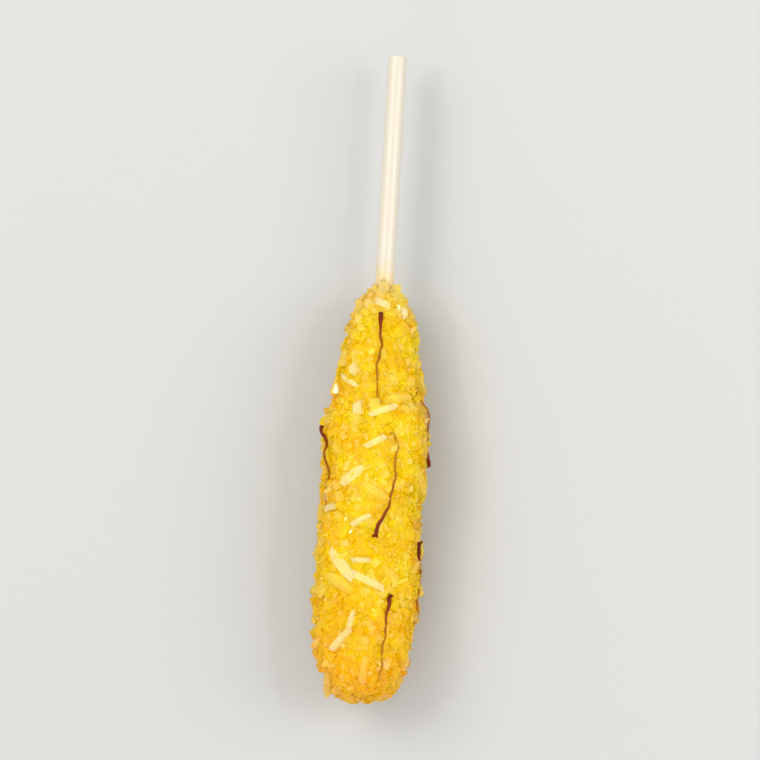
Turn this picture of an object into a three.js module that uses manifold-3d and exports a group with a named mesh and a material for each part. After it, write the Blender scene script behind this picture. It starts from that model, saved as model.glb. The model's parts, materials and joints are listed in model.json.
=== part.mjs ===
// Rock candy stick: yellow crystal sugar grown on a white plastic stick, with saffron threads.
//
// Millimetres, +Z up. The stick lies along Y, its bare handle towards +Y and the sugar towards -Y.
// The sugar rests on a small flat spot at Z = 0, and the origin is below the middle of the whole.
import * as THREE from 'three';
import { ConvexGeometry } from 'three/addons/geometries/ConvexGeometry.js';
import * as BufferGeometryUtils from 'three/addons/utils/BufferGeometryUtils.js';
import Module from 'manifold-3d';

// ---- Driving dimensions -------------------------------------------------------------------

const STICK_LENGTH = 150;
const STICK_DIAMETER = 4.4;
const STICK_EDGE = 0.35;        // bevel at both ends
const STICK_SIDES = 24;
const HANDLE_LENGTH = 55;       // bare end that is held
const END_COVER = 3;            // sugar past the other end
const BORE_GAP = 0.3;           // clearance between the stick and the sugar around it
const REST_CUT = 1.5;           // height of the flat spot under the widest crystals

// The sugar mass without its standing crystals: [distance from the neck, radius].
const CORE_OUTLINE = [
  [0, 3.7], [3, 5.6], [8, 7.5], [16, 8.9], [26, 9.7], [32, 11.4], [46, 11.7],
  [62, 11.4], [77, 11.3], [88, 10.0], [94.5, 6.8], [96.6, 0],
];
const CORE_RING_STEP = 4.5;     // spacing of the core's rings, and roughly of the points on them
const CORE_SIDES = 16;
const CORE_LUMP = 1.0;          // how far a point of the core stands in or out
const CORE_SHIFT = 0.8;         // how far it moves along the stick, as a share of that
const SWELL = [                 // slow bulges: [share of the radius, waves round, waves along]
  [0.040, 2, 2.3],
  [0.030, 3, -3.7],
];

// Crystals, the largest sort first: each sort takes the places whose number it divides, of those
// that are left. Lengths and widths in mm; stand is how far the tip rises above the core, lean is
// the angle in degrees between the long axis and the surface, and roof is the height of the
// slanted end facets in widths, or 0 for a plain slanted block.
const CRYSTAL_COUNT = 240;
const CRYSTAL_SORTS = [
  { every: 10, length: [6.5, 10], width: [2.1, 3.1], stand: [1.3, 2.2], lean: [4, 26], roof: 0.45 },
  { every: 2, length: [4.2, 6.4], width: [2.6, 3.6], stand: [1.1, 2.2], lean: [12, 60], roof: 0 },
  { every: 1, length: [3.0, 4.4], width: [2.2, 3.1], stand: [0.8, 1.8], lean: [15, 85], roof: 0 },
];
const CRYSTAL_FLATNESS = [0.6, 0.95];   // thickness as a share of the width
const CRYSTAL_SKEW = Math.tan(THREE.MathUtils.degToRad(13.5));  // sugar's angle of 103.5 degrees
const PLACE_JITTER = 0.12;              // radians round the stick
const GOLDEN_ANGLE = Math.PI * (3 - Math.sqrt(5));
const FULL_SIZE_RADIUS = 9;             // where the core is slimmer than this, crystals are smaller,
const SMALLEST_SIZE = 0.6;              // down to this share of their size
const CORE_SEED = 7;
const CRYSTAL_SEED = 20;

// Shards, the pale crystals that lie along the upper side: [distance from the neck and degrees
// round from the top of one end, the same of the other end, width].
const SHARDS = [
  [3.1, -10, 4.4, 21, 1.6],
  [4.2, 46, 7.1, 48, 1.4],
  [18.1, -30, 20.6, -22, 1.7],
  [20.9, -53, 23.4, -19, 1.2],
  [26.9, -18, 30.3, -13, 2.0],
  [30.1, 0, 27.3, 34, 1.7],
  [37.5, -2, 34.7, 20, 1.4],
  [46.5, -27, 42.1, -3, 2.2],
  [52.6, -54, 51.4, -35, 1.4],
  [55.7, -12, 53.0, 8, 1.5],
  [63.7, -10, 63.4, 12, 1.2],
  [61.5, -35, 68.1, -7, 2.6],
  [66.3, -12, 69.8, 29, 1.6],
  [75.3, -5, 80.3, -10, 1.3],
  [79.5, -8, 84.8, -33, 1.5],
];
const SHARD_STAND = 1.7;        // height of a shard's upper face above the core
const SHARD_FLATNESS = 0.7;     // thickness as a share of the width
const SHARD_ROOF = 0.45;        // height of its slanted end facets, in widths

// Saffron threads, each from its thin end to its flared end: [distance from the neck, degrees
// round from the top].
const THREAD_RADIUS = 0.3;
const THREAD_TAPER = 0.25;      // how much thinner the thin end is, as a share of the radius
const THREAD_FLARE = 1.0;       // how much wider the flared end is
const FLARE_POWER = 8;          // how late along the thread the flare begins
const THREAD_LIFT = 0.1;        // how far a thread's middle lies above the crystals it crosses
const THREAD_STATIONS = 7;
const THREAD_SIDES = 4;
const THREADS = [
  [[27.2, 13], [23.2, 6.5], [19.2, 5.5], [13.3, 9], [6.1, 4]],
  [[34.0, 25], [34.6, 32], [39.4, 33], [48.6, 28], [58.1, 13]],
  [[91.0, 35], [84.3, 31.5], [74.6, 34], [71.1, 38]],
  [[52.0, -52], [46.0, -60], [38.5, -57], [33.0, -66]],
  [[22.0, 84], [28.5, 92], [36.0, 88], [41.0, 78]],
  [[80.0, 96], [73.0, 88], [65.0, 95], [58.5, 92]],
  [[24.0, -118], [31.0, -110], [39.0, -116], [44.0, -124]],
  [[83.0, -104], [77.0, -112], [69.0, -108], [63.0, -98]],
  [[50.0, 134], [57.5, 127], [65.0, 133], [70.0, 142]],
];

// ---- Worked-out values --------------------------------------------------------------------

const STICK_RADIUS = STICK_DIAMETER / 2;
const BORE_RADIUS = STICK_RADIUS + BORE_GAP;
const CANDY_LENGTH = STICK_LENGTH - HANDLE_LENGTH + END_COVER;
const NECK_Y = (STICK_LENGTH + END_COVER) / 2 - HANDLE_LENGTH;
const WIDEST = Math.max(...CORE_OUTLINE.map(([, radius]) => radius));
const AXIS_HEIGHT = WIDEST + CRYSTAL_SORTS[0].stand[1] - REST_CUT;
const WELL_OUTSIDE = 3 * WIDEST;        // a radius that clears every crystal

// A repeatable stream of numbers from 0 to 1 (the mulberry32 generator).
function makeRandom(seed) {
  let state = seed;
  return () => {
    state = (state + 0x6d2b79f5) >>> 0;
    let t = state;
    t = Math.imul(t ^ (t >>> 15), t | 1);
    t ^= t + Math.imul(t ^ (t >>> 7), t | 61);
    return ((t ^ (t >>> 14)) >>> 0) / 4294967296;
  };
}

const between = (random, [low, high]) => low + (high - low) * random();

// ---- The sugar's smooth outline -----------------------------------------------------------

const outline = new THREE.SplineCurve(CORE_OUTLINE.map((point) => new THREE.Vector2(...point)));

function swell(along, turn) {
  const phase = 2 * Math.PI * along / CANDY_LENGTH;
  return SWELL.reduce((sum, [share, round, wave]) => (
    sum + share * Math.sin(round * turn + wave * phase)), 1);
}

// A point at a distance from the neck, a turn from the top and a radius, in the part's frame.
function place(along, turn, radius) {
  return new THREE.Vector3(
    radius * Math.sin(turn), NECK_Y - along, AXIS_HEIGHT + radius * Math.cos(turn));
}

// Bands of the outline with their share of the surface, to spread crystals by area.
function outlineBands(count) {
  const bands = [];
  let total = 0;
  for (let i = 0; i < count; i++) {
    const middle = outline.getPoint((i + 0.5) / count);
    const slope = outline.getTangent((i + 0.5) / count);
    const width = outline.getPoint((i + 1) / count).distanceTo(outline.getPoint(i / count));
    total += middle.y * width;
    bands.push({ along: middle.x, radius: middle.y, slope, upTo: total });
  }
  bands.forEach((band) => { band.upTo /= total; });
  return bands;
}

const BAND_COUNT = 400;
const BANDS = outlineBands(BAND_COUNT);

// ---- Solids -------------------------------------------------------------------------------

const wasm = await Module();
wasm.setup();

const SAME_POINT = 1e-5;        // points closer than this are one

function withMergedPoints(geometry) {
  const bare = geometry.clone();
  bare.deleteAttribute('normal');
  bare.deleteAttribute('uv');
  return BufferGeometryUtils.mergeVertices(bare, SAME_POINT);
}

function toSolid(geometry) {
  const merged = withMergedPoints(geometry);
  return new wasm.Manifold(new wasm.Mesh({
    numProp: 3,
    vertProperties: new Float32Array(merged.attributes.position.array),
    triVerts: new Uint32Array(merged.index.array),
  }));
}

function toGeometry(solid) {
  const mesh = solid.getMesh();
  const geometry = new THREE.BufferGeometry();
  geometry.setAttribute('position', new THREE.BufferAttribute(mesh.vertProperties, 3));
  geometry.setIndex(new THREE.BufferAttribute(mesh.triVerts, 1));
  geometry.computeVertexNormals();
  return geometry;
}

// A solid of revolution about the stick's axis, from points of [distance from the neck, radius].
function turned(profile, sides) {
  const points = profile.map(([along, radius]) => new THREE.Vector2(radius, -along));
  const geometry = new THREE.LatheGeometry(points.reverse(), sides);
  geometry.translate(0, NECK_Y, AXIS_HEIGHT);
  return geometry;
}

function stickGeometry() {
  const ends = [-HANDLE_LENGTH, STICK_LENGTH - HANDLE_LENGTH];
  return turned([
    [ends[0], 0], [ends[0], STICK_RADIUS - STICK_EDGE], [ends[0] + STICK_EDGE, STICK_RADIUS],
    [ends[1] - STICK_EDGE, STICK_RADIUS], [ends[1], STICK_RADIUS - STICK_EDGE], [ends[1], 0],
  ], STICK_SIDES);
}

// The space that the stick takes out of the sugar, open at the neck.
function boreSolid() {
  const bottom = STICK_LENGTH - HANDLE_LENGTH + BORE_GAP;
  const mouth = -HANDLE_LENGTH / 2;
  return toSolid(turned(
    [[mouth, 0], [mouth, BORE_RADIUS], [bottom, BORE_RADIUS], [bottom, 0]], STICK_SIDES));
}

// The lumpy mass of grown-together sugar.
function coreSolid(random) {
  const rings = Math.round(outline.getLength() / CORE_RING_STEP);
  const profile = [[0, 0]];
  for (let i = 0; i < rings; i++) {
    profile.push(outline.getPointAt(i / rings).toArray());
  }
  profile.push(CORE_OUTLINE.at(-1));
  const geometry = withMergedPoints(turned(profile, CORE_SIDES));
  const position = geometry.attributes.position;
  for (let i = 0; i < position.count; i++) {
    const radius = Math.hypot(position.getX(i), position.getZ(i) - AXIS_HEIGHT);
    const lump = CORE_LUMP * (2 * random() - 1);
    if (radius > BORE_RADIUS) {
      const along = NECK_Y - position.getY(i);
      const turn = Math.atan2(position.getX(i), position.getZ(i) - AXIS_HEIGHT);
      const moved = place(along + CORE_SHIFT * lump, turn, radius * swell(along, turn) + lump);
      position.setXYZ(i, moved.x, moved.y, moved.z);
    }
  }
  return toSolid(geometry);
}

// One sugar crystal about the origin: a slanted block, long in Y. With a roof above 0, both its
// ends slant from two sides to a ridge.
function crystalGeometry(length, width, thickness, roof) {
  const points = [];
  for (const end of [-1, 1]) {
    for (const side of [-width / 2, width / 2]) {
      points.push(new THREE.Vector3(side, end * (length / 2 - roof), thickness / 2));
      points.push(new THREE.Vector3(side, end * (length / 2 - roof), -thickness / 2));
      if (roof > 0) points.push(new THREE.Vector3(side, end * length / 2, 0));
    }
  }
  points.forEach((point) => { point.y += CRYSTAL_SKEW * (point.x + point.z); });
  return new ConvexGeometry(points);
}

// The crystals stand on a golden-angle spiral over the core, which spreads them evenly.
function crystalSolids(random) {
  const solids = [];
  for (let i = 0; i < CRYSTAL_COUNT; i++) {
    const sort = CRYSTAL_SORTS.find(({ every }) => i % every === 0);
    const share = (i + 0.5) / CRYSTAL_COUNT;
    const band = BANDS.find((entry) => share <= entry.upTo);
    const turn = i * GOLDEN_ANGLE + PLACE_JITTER * (2 * random() - 1);
    const size = THREE.MathUtils.lerp(SMALLEST_SIZE, 1, Math.min(1, band.radius / FULL_SIZE_RADIUS));
    const length = size * between(random, sort.length);
    const width = size * between(random, sort.width);
    const thickness = width * between(random, CRYSTAL_FLATNESS);
    const stand = size * between(random, sort.stand);
    const lean = THREE.MathUtils.degToRad(between(random, sort.lean));
    const heading = 2 * Math.PI * random();
    const roll = Math.PI * random();

    // Directions on the surface there: outwards, round the stick and along the slope.
    const radial = new THREE.Vector3(Math.sin(turn), 0, Math.cos(turn));
    const out = new THREE.Vector3(0, band.slope.y, 0).addScaledVector(radial, band.slope.x).normalize();
    const round = new THREE.Vector3(Math.cos(turn), 0, -Math.sin(turn));
    const down = new THREE.Vector3().crossVectors(out, round);
    const axis = new THREE.Vector3()
      .addScaledVector(round, Math.cos(lean) * Math.cos(heading))
      .addScaledVector(down, Math.cos(lean) * Math.sin(heading))
      .addScaledVector(out, Math.sin(lean))
      .normalize();

    const longAxis = new THREE.Vector3(0, 1, 0);
    const rotation = new THREE.Quaternion().setFromUnitVectors(longAxis, axis);
    rotation.multiply(new THREE.Quaternion().setFromAxisAngle(longAxis, roll));
    const geometry = crystalGeometry(length, width, thickness, sort.roof * width);
    geometry.applyQuaternion(rotation);
    const position = geometry.attributes.position;
    let reach = 0;
    for (let k = 0; k < position.count; k++) {
      reach = Math.max(reach, out.dot(new THREE.Vector3().fromBufferAttribute(position, k)));
    }
    const spot = place(band.along, turn, band.radius * swell(band.along, turn));
    spot.addScaledVector(out, stand - reach);
    solids.push(toSolid(geometry.translate(spot.x, spot.y, spot.z)));
  }
  return solids;
}

// A shard lies along the line between its two ends, with one flat side outwards.
function shardSolid([startAlong, startDegrees, endAlong, endDegrees, width]) {
  const thickness = SHARD_FLATNESS * width;
  const [start, end] = [[startAlong, startDegrees], [endAlong, endDegrees]].map(([along, degrees]) => {
    const turn = THREE.MathUtils.degToRad(degrees);
    const core = BANDS.find((band) => along <= band.along).radius * swell(along, turn);
    return place(along, turn, core + SHARD_STAND - thickness / 2);
  });
  const spot = start.clone().lerp(end, 0.5);
  const length = end.clone().sub(start);
  const axis = length.clone().normalize();
  const out = new THREE.Vector3(spot.x, 0, spot.z - AXIS_HEIGHT);
  out.addScaledVector(axis, -out.dot(axis)).normalize();
  const across = new THREE.Vector3().crossVectors(axis, out);
  const frame = new THREE.Matrix4().makeBasis(across, axis, out).setPosition(spot);
  const geometry = crystalGeometry(length.length(), width, thickness, SHARD_ROOF * width);
  return toSolid(geometry.applyMatrix4(frame));
}

// A thread follows the surface: it lies on the crystals and bridges the dips between them.
function threadSolid(points, surface) {
  const route = new THREE.SplineCurve(points.map(([along, degrees]) => (
    new THREE.Vector2(along, THREE.MathUtils.degToRad(degrees)))));
  const caster = new THREE.Raycaster();
  const stations = route.getPoints(THREAD_STATIONS).map(({ x: along, y: turn }) => {
    const far = place(along, turn, WELL_OUTSIDE);
    caster.set(far, place(along, turn, 0).sub(far).normalize());
    return { along, turn, radius: WELL_OUTSIDE - caster.intersectObject(surface)[0].distance };
  });
  const middle = new THREE.CatmullRomCurve3(stations.map(({ along, turn, radius }, i) => {
    const before = stations[Math.max(i - 1, 0)].radius;
    const after = stations[Math.min(i + 1, THREAD_STATIONS)].radius;
    return place(along, turn, Math.max(radius, (before + after) / 2) + THREAD_LIFT);
  }));
  const geometry = new THREE.CylinderGeometry(1, 1, 1, THREAD_SIDES, THREAD_STATIONS);
  const frames = middle.computeFrenetFrames(THREAD_STATIONS);
  const position = geometry.attributes.position;
  for (let i = 0; i < position.count; i++) {
    const share = position.getY(i) + 0.5;
    const k = Math.round(share * THREAD_STATIONS);
    const slim = 1 - THREAD_TAPER * (1 - share);
    const wide = THREAD_RADIUS * (slim + THREAD_FLARE * share ** FLARE_POWER);
    const point = middle.getPoint(share)
      .addScaledVector(frames.normals[k], wide * position.getZ(i))
      .addScaledVector(frames.binormals[k], wide * position.getX(i));
    position.setXYZ(i, point.x, point.y, point.z);
  }
  return toSolid(geometry);
}

function largestPiece(solid) {
  return solid.decompose().reduce((best, piece) => (piece.volume() > best.volume() ? piece : best));
}

const core = coreSolid(makeRandom(CORE_SEED));
const crystals = crystalSolids(makeRandom(CRYSTAL_SEED));
const grown = wasm.Manifold.union([core, ...crystals, ...SHARDS.map(shardSolid)]);
const surface = new THREE.Mesh(toGeometry(grown));
const threads = THREADS.map((points) => threadSolid(points, surface));
const table = new THREE.BoxGeometry(2 * STICK_LENGTH, 2 * STICK_LENGTH, WIDEST)
  .translate(0, 0, -WIDEST / 2);
const candy = largestPiece(wasm.Manifold.union([grown, ...threads])
  .subtract(boreSolid())
  .subtract(toSolid(table)));

// ---- The part -----------------------------------------------------------------------------

const sugar = new THREE.MeshStandardMaterial({ color: '#f2c01c', roughness: 0.25, metalness: 0 });
const plastic = new THREE.MeshStandardMaterial({ color: '#f5efdc', roughness: 0.35, metalness: 0 });

function namedMesh(name, geometry, material) {
  const mesh = new THREE.Mesh(geometry, material);
  mesh.name = name;
  return mesh;
}

const rockCandy = new THREE.Group();
rockCandy.add(namedMesh('stick', stickGeometry(), plastic));
rockCandy.add(namedMesh('candy', toGeometry(candy), sugar));

export default rockCandy;
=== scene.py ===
# %% [markdown]
# # A rock candy stick
# Yellow crystal sugar, grown over days out of saffron syrup onto a white plastic stick. The stick
# lies on its side on a pale table. Everything here is in metres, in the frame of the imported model:
# the stick lies along Y with its bare handle towards +Y, and Z = 0 is the table.
#
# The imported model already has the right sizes: a plain stick, and a faceted lump with the largest
# crystals. This lesson grows the real surface over the same form.

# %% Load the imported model
import json
import math
import random

import bmesh
import bpy
from mathutils import Matrix, Quaternion, Vector
from mathutils.bvhtree import BVHTree

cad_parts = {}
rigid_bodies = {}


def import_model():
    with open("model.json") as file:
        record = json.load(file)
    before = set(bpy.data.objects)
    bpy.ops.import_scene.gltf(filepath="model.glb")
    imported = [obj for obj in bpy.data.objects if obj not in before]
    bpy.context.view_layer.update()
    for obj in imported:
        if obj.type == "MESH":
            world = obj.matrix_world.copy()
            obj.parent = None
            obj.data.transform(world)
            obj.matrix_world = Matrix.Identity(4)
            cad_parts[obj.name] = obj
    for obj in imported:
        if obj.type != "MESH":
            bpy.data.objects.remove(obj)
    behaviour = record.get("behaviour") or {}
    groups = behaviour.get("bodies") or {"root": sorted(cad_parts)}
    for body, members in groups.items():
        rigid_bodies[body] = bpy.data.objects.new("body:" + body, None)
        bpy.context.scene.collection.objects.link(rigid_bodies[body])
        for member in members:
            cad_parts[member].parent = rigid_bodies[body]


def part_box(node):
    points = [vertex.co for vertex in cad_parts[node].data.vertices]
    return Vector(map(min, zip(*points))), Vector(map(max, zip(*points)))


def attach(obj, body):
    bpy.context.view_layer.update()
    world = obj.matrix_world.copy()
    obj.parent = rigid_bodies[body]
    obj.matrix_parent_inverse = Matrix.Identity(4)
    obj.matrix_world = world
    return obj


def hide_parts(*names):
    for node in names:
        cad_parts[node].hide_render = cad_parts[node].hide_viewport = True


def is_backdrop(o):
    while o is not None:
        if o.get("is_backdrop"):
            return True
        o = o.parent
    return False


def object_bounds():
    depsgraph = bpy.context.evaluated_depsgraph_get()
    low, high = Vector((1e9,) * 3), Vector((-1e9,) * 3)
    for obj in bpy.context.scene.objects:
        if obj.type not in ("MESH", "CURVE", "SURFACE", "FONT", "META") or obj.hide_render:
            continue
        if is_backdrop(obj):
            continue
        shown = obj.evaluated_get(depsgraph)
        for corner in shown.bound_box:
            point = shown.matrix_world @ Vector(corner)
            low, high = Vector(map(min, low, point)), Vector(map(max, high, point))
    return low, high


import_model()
cad_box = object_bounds()

MM = 0.001
HANDLE_LENGTH = 55  # mm of the stick that stay bare
stick_low, stick_high = (Vector(corner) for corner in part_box("stick"))
STICK_RADIUS = (stick_high.x - stick_low.x) / 2
AXIS_HEIGHT = (stick_low.z + stick_high.z) / 2
NECK_Y = stick_high.y / MM - HANDLE_LENGTH
print(f"stick {(stick_high.y - stick_low.y) / MM:.0f} mm long, axis {AXIS_HEIGHT / MM:.1f} mm up")

# %% [markdown]
# ## Helpers
# A colour is written as the sRGB hex value that one sees on a screen, and shaders want linear
# light, so one function converts it. A second function adds a node with its settings and links:
# a link is given as a pair of the node and the name or number of its output. In a Mix node for
# colours, inputs 6 and 7 are the two colours and output 2 is the result.


# %% Colours and nodes
def linear(hex_colour):
    """The linear RGBA of an sRGB colour such as '#ffcc00'."""
    parts = [int(hex_colour[i:i + 2], 16) / 255 for i in (1, 3, 5)]
    return [p / 12.92 if p <= 0.04045 else ((p + 0.055) / 1.055) ** 2.4 for p in parts] + [1.0]


def add_node(tree, kind, inputs=(), **settings):
    """A node of this kind: settings are its properties, and inputs maps a socket's name or number
    to a value, or to (node, output) for a link."""
    node = tree.nodes.new(kind)
    for name, value in settings.items():
        setattr(node, name, value)
    for name, value in dict(inputs).items():
        if isinstance(value, tuple) and isinstance(value[0], bpy.types.Node):
            tree.links.new(value[0].outputs[value[1]], node.inputs[name])
        else:
            node.inputs[name].default_value = value
    return node


def new_material(name):
    """A node material, its tree, and a link to the place on the object that is being shaded."""
    material = bpy.data.materials.new(name)
    material.use_nodes = True
    tree = material.node_tree
    tree.nodes.clear()
    return material, tree, (add_node(tree, "ShaderNodeTexCoord"), "Object")


print("linear light of #808080:", round(linear("#808080")[0], 3))


# %% Meshes and objects
def plain_object(name, data):
    """A mesh or curve as an object of the scene, at the origin."""
    made = bpy.data.objects.new(name, data)
    bpy.context.scene.collection.objects.link(made)
    return made


def ring_mesh(name, rings, smooth=False):
    """A closed skin through rings of points, in metres, with a flat cap on the first and last ring."""
    bm = bmesh.new()
    rows = [[bm.verts.new(point) for point in ring] for ring in rings]
    for row, following in zip(rows, rows[1:]):
        for k in range(len(row)):
            n = (k + 1) % len(row)
            bm.faces.new((row[k], row[n], following[n], following[k])).smooth = smooth
    for row in (rows[0], rows[-1]):
        bm.faces.new(row)
    bmesh.ops.recalc_face_normals(bm, faces=bm.faces)
    mesh = bpy.data.meshes.new(name)
    bm.to_mesh(mesh)
    bm.free()
    return mesh


def count_triangles(mesh):
    return sum(len(polygon.vertices) - 2 for polygon in mesh.polygons)


sample = ring_mesh("sample", [[(0, 0, z), (1, 0, z), (0, 1, z)] for z in (0, 1)])
print("two rings of three points make", count_triangles(sample), "triangles")
bpy.data.meshes.remove(sample)

# %% [markdown]
# ## Camera, table and light
# The stick lies down, so the camera looks down on it, from a little to the right of straight above.
# Close by with a wide lens it would draw the lower end smaller than the handle. It stands 0.78 m
# away with a long lens instead, so the stick hardly narrows with distance.

# %% Camera
CAMERA_RIGHT = math.radians(8.8)  # how far the camera leans from straight above
CAMERA_DOWN = math.radians(3.0)
STICK_LEAN = math.radians(3.4)    # the stick's slant in the picture
CAMERA_DISTANCE = 0.78
FRAME_HEIGHT = 0.178              # what the picture takes in at the stick
SENSOR_WIDTH = 36

low, high = (Vector(corner) for corner in cad_box)
middle = Vector(((low.x + high.x) / 2, (low.y + high.y) / 2, AXIS_HEIGHT))
towards = Vector((math.tan(CAMERA_RIGHT), -math.tan(CAMERA_DOWN), 1)).normalized()

camera = plain_object("camera", bpy.data.cameras.new("camera"))
camera.data.sensor_width = SENSOR_WIDTH
camera.data.lens = SENSOR_WIDTH * CAMERA_DISTANCE / FRAME_HEIGHT
camera.data.clip_start = 0.01
camera.location = middle + CAMERA_DISTANCE * towards
picture_up = Vector((-math.sin(STICK_LEAN), math.cos(STICK_LEAN), 0))
picture_right = picture_up.cross(towards).normalized()
picture_up = towards.cross(picture_right)
camera.rotation_euler = Matrix((picture_right, picture_up, towards)).transposed().to_euler()
bpy.context.scene.camera = camera
print(f"lens {camera.data.lens:.0f} mm")

# %% [markdown]
# The table is one large pale plane under a pale sky. A curved backdrop could hide its far edge.
# Here its colour is painted paler away from the lamps, a painted light where only the sky lights it,
# and so it melts into the sky without another object.
#
# Sugar passes light on from crystal to crystal. Small bright lamps alone would leave its shaded
# sides brown, so most of the light is soft: the sky, and three large softboxes. Two small bare
# lamps add sharp glints on the few facets that happen to face them.

# %% Table
TABLE_SIZE = 12.0
LAMPLIT = (0.25, 1.8)  # m from the middle, between which the lamps' light fades


def make_table():
    """A matt white laminate without gloss, so only the soft shadow shows on it. Its colour is painted
    paler away from the lamps, as painted light where their light fades.
    """
    mesh = bpy.data.meshes.new("table")
    bm = bmesh.new()
    bmesh.ops.create_grid(bm, x_segments=2, y_segments=2, size=TABLE_SIZE / 2)
    bm.to_mesh(mesh)
    bm.free()
    material, tree, here = new_material("matt white laminate")
    far = add_node(tree, "ShaderNodeVectorMath", {0: here}, operation="LENGTH")
    paler = add_node(tree, "ShaderNodeMapRange",
                     {"Value": (far, "Value"), "From Min": LAMPLIT[0], "From Max": LAMPLIT[1]},
                     interpolation_type="SMOOTHSTEP")
    # painted light: the colour grows paler where the lamps' light fades
    painted_far_light = add_node(tree, "ShaderNodeMix",
                    {"Factor": (paler, "Result"), 6: linear("#c0c0be"), 7: linear("#f4f4f4")},
                    data_type="RGBA")
    shader = add_node(tree, "ShaderNodeBsdfPrincipled",
                      {"Base Color": (painted_far_light, 2), "Roughness": 0.8, "Specular IOR Level": 0.1})
    add_node(tree, "ShaderNodeOutputMaterial", {"Surface": (shader, "BSDF")})
    mesh.materials.append(material)
    return plain_object("table", mesh)


table = make_table()
print("table", TABLE_SIZE, "m wide")

# %% Light
SKY_STRENGTH = 0.90
LAMPS = [  # name, place from the middle of the stick in m, width in m, power in W, colour
    ("key softbox", (-0.45, 0.35, 0.75), 0.60, 4.0, "#fffaf0"),
    ("right softbox", (0.7, 0.1, 0.55), 0.50, 3.0, "#ffffff"),
    ("low back softbox", (-0.2, -0.9, 0.4), 0.35, 1.2, "#ffffff"),
    ("left glint lamp", (-0.40, 0.11, 0.69), 0.05, 0.35, "#ffffff"),
    ("right glint lamp", (0.47, 0.12, 0.64), 0.05, 0.35, "#ffffff"),
]

for name, spot, width, watts, colour in LAMPS:
    lamp = bpy.data.lights.new(name, "AREA")
    lamp.size = width
    lamp.energy = watts
    lamp.color = linear(colour)[:3]
    holder = plain_object(name, lamp)
    holder.location = middle + Vector(spot)
    holder.rotation_euler = Vector(spot).to_track_quat("Z", "Y").to_euler()

sky = bpy.data.worlds.new("pale studio")
sky.use_nodes = True
sky.node_tree.nodes["Background"].inputs["Color"].default_value = linear("#f4f5f8")
sky.node_tree.nodes["Background"].inputs["Strength"].default_value = SKY_STRENGTH
bpy.context.scene.world = sky
bpy.context.scene.view_settings.view_transform = "Standard"
print(len(LAMPS), "lamps,", round(sum(lamp[3] for lamp in LAMPS), 1), "W in all")

# %% [markdown]
# ## Materials of the sugar
# ** Rock sugar** is clear and the saffron dyes it lemon. Towards the lower end a painted shade with
# a warm cast turns it gold. Its facets are glassy. Here and there a crystal is pale, partly milky
# with small faults and partly a painted highlight, and near the neck all of it is a little paler.
#
# It could be plain glass. Sugar's own index of refraction is 1.54, but then light gets trapped in
# the hundreds of blocks until the dye has taken most of it, and the sugar turns brown. On the real
# stick a film of syrup fills the steps between the crystals: light hardly bends on its way in, and
# comes back bright from the cloudy heart. So the blocks get a low index, a coat with a high index
# gives the facets their gloss, and about a third of the light is scattered at the surface.

# %% Sizes and zones in the sugar
SUGAR_IOR = 1.12      # sugar against the syrup film, raised a little
SYRUP_FILM_IOR = 1.5
RIPPLE_SIZE = 1.6 * MM
CLOUD_SIZE = 6 * MM   # of lemon and gold sugar side by side
GOLD_SHADE_END = (66, 100)  # mm from the neck, between which a painted shade turns the sugar gold
PALE_NECK = (9, -1)   # and between which it turns pale, towards the handle


def along_sugar(tree, here, zone, most):
    """A share that grows from 0 to most across a zone of the sugar."""
    parts = add_node(tree, "ShaderNodeSeparateXYZ", {"Vector": here})
    start, end = ((NECK_Y - along) * MM for along in zone)
    return add_node(tree, "ShaderNodeMapRange",
                    {"Value": (parts, "Y"), "From Min": start, "From Max": end, "To Max": most})


def zone_tint(tree, here, tint, colour, zone, most):
    """The tint, changed towards another colour by up to most across a zone of the sugar."""
    share = along_sugar(tree, here, zone, most)
    return add_node(tree, "ShaderNodeMix", {"Factor": (share, "Result"), 6: tint, 7: linear(colour)},
                    data_type="RGBA")


print(f"clouds of {CLOUD_SIZE / MM:.0f} mm, with a ripple of {RIPPLE_SIZE / MM:.1f} mm on the facets")


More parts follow.
